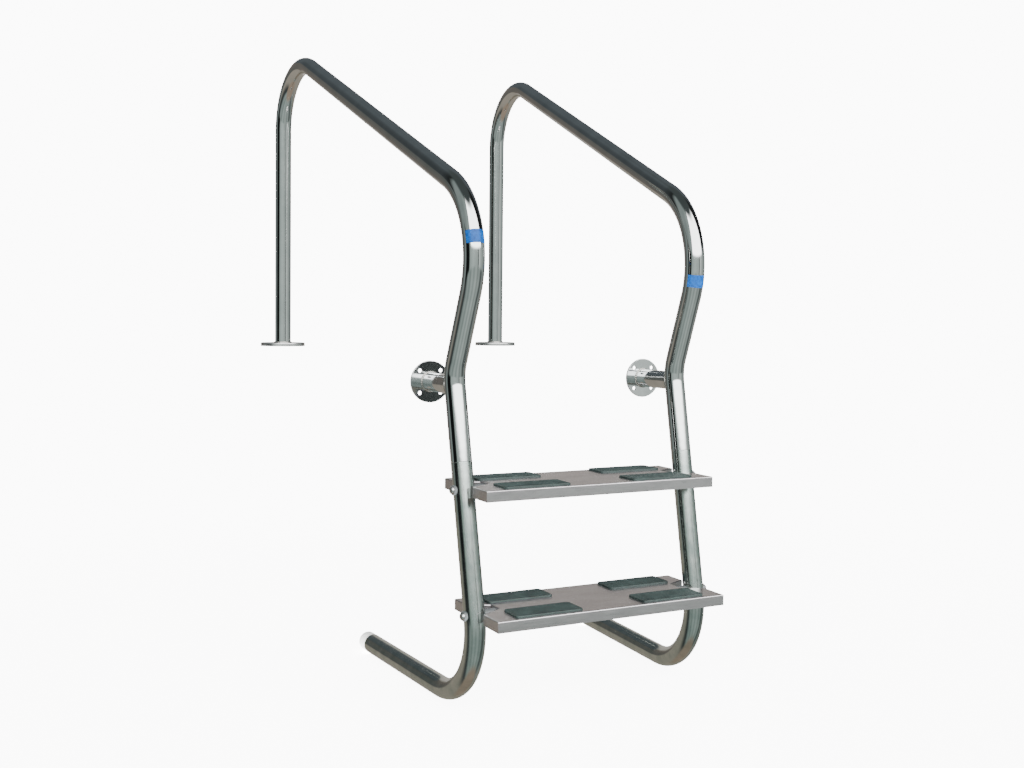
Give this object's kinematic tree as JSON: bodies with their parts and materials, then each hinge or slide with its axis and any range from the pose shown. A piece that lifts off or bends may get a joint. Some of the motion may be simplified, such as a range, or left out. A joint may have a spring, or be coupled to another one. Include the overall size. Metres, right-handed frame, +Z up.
{
  "type": "pool ladder",
  "caption": "Stainless pool ladder for a raised-edge pool: bent-tube handrails bolted to deck and wall, wide folded treads with rubber pads.",
  "frame": {"origin": "on the deck, midway between the two handrail posts", "axes": "+X to the right as a bather faces the pool wall from the water, +Y back towards the deck, +Z up"},
  "size_m": [0.7742, 1.2903, 1.4576],
  "materials": {
    "polished_steel": "mirror-polished stainless steel tube and flange",
    "satin_steel": "satin stainless steel sheet",
    "fixing_steel": "plain stainless steel fixing",
    "pad_rubber": "dark green-grey moulded rubber",
    "cap_plastic": "white moulded plastic",
    "label_film": "plain blue printed film",
    "bush_plastic": "dark grey moulded plastic"
  },
  "bodies": {
    "root": {"joint_screws": "fixing_steel", "left_deck_flange": "satin_steel", "left_end_cap": "cap_plastic", "left_handrail": "polished_steel", "left_label": "label_film", "left_leg": "polished_steel", "left_spigot": "fixing_steel", "left_standoff": "polished_steel", "left_wall_flange": "polished_steel", "lower_pad_front_left": "pad_rubber", "lower_pad_front_right": "pad_rubber", "lower_pad_rear_left": "pad_rubber", "lower_pad_rear_right": "pad_rubber", "lower_tread": "satin_steel", "right_deck_flange": "satin_steel", "right_end_cap": "cap_plastic", "right_handrail": "polished_steel", "right_label": "label_film", "right_leg": "polished_steel", "right_spigot": "fixing_steel", "right_standoff": "polished_steel", "right_wall_flange": "polished_steel", "tread_bolts": "fixing_steel", "tread_nuts": "fixing_steel", "tread_saddles": "bush_plastic", "tread_spacers": "bush_plastic", "tread_washers": "fixing_steel", "upper_pad_front_left": "pad_rubber", "upper_pad_front_right": "pad_rubber", "upper_pad_rear_left": "pad_rubber", "upper_pad_rear_right": "pad_rubber", "upper_tread": "satin_steel"}
  },
  "joints": []
}
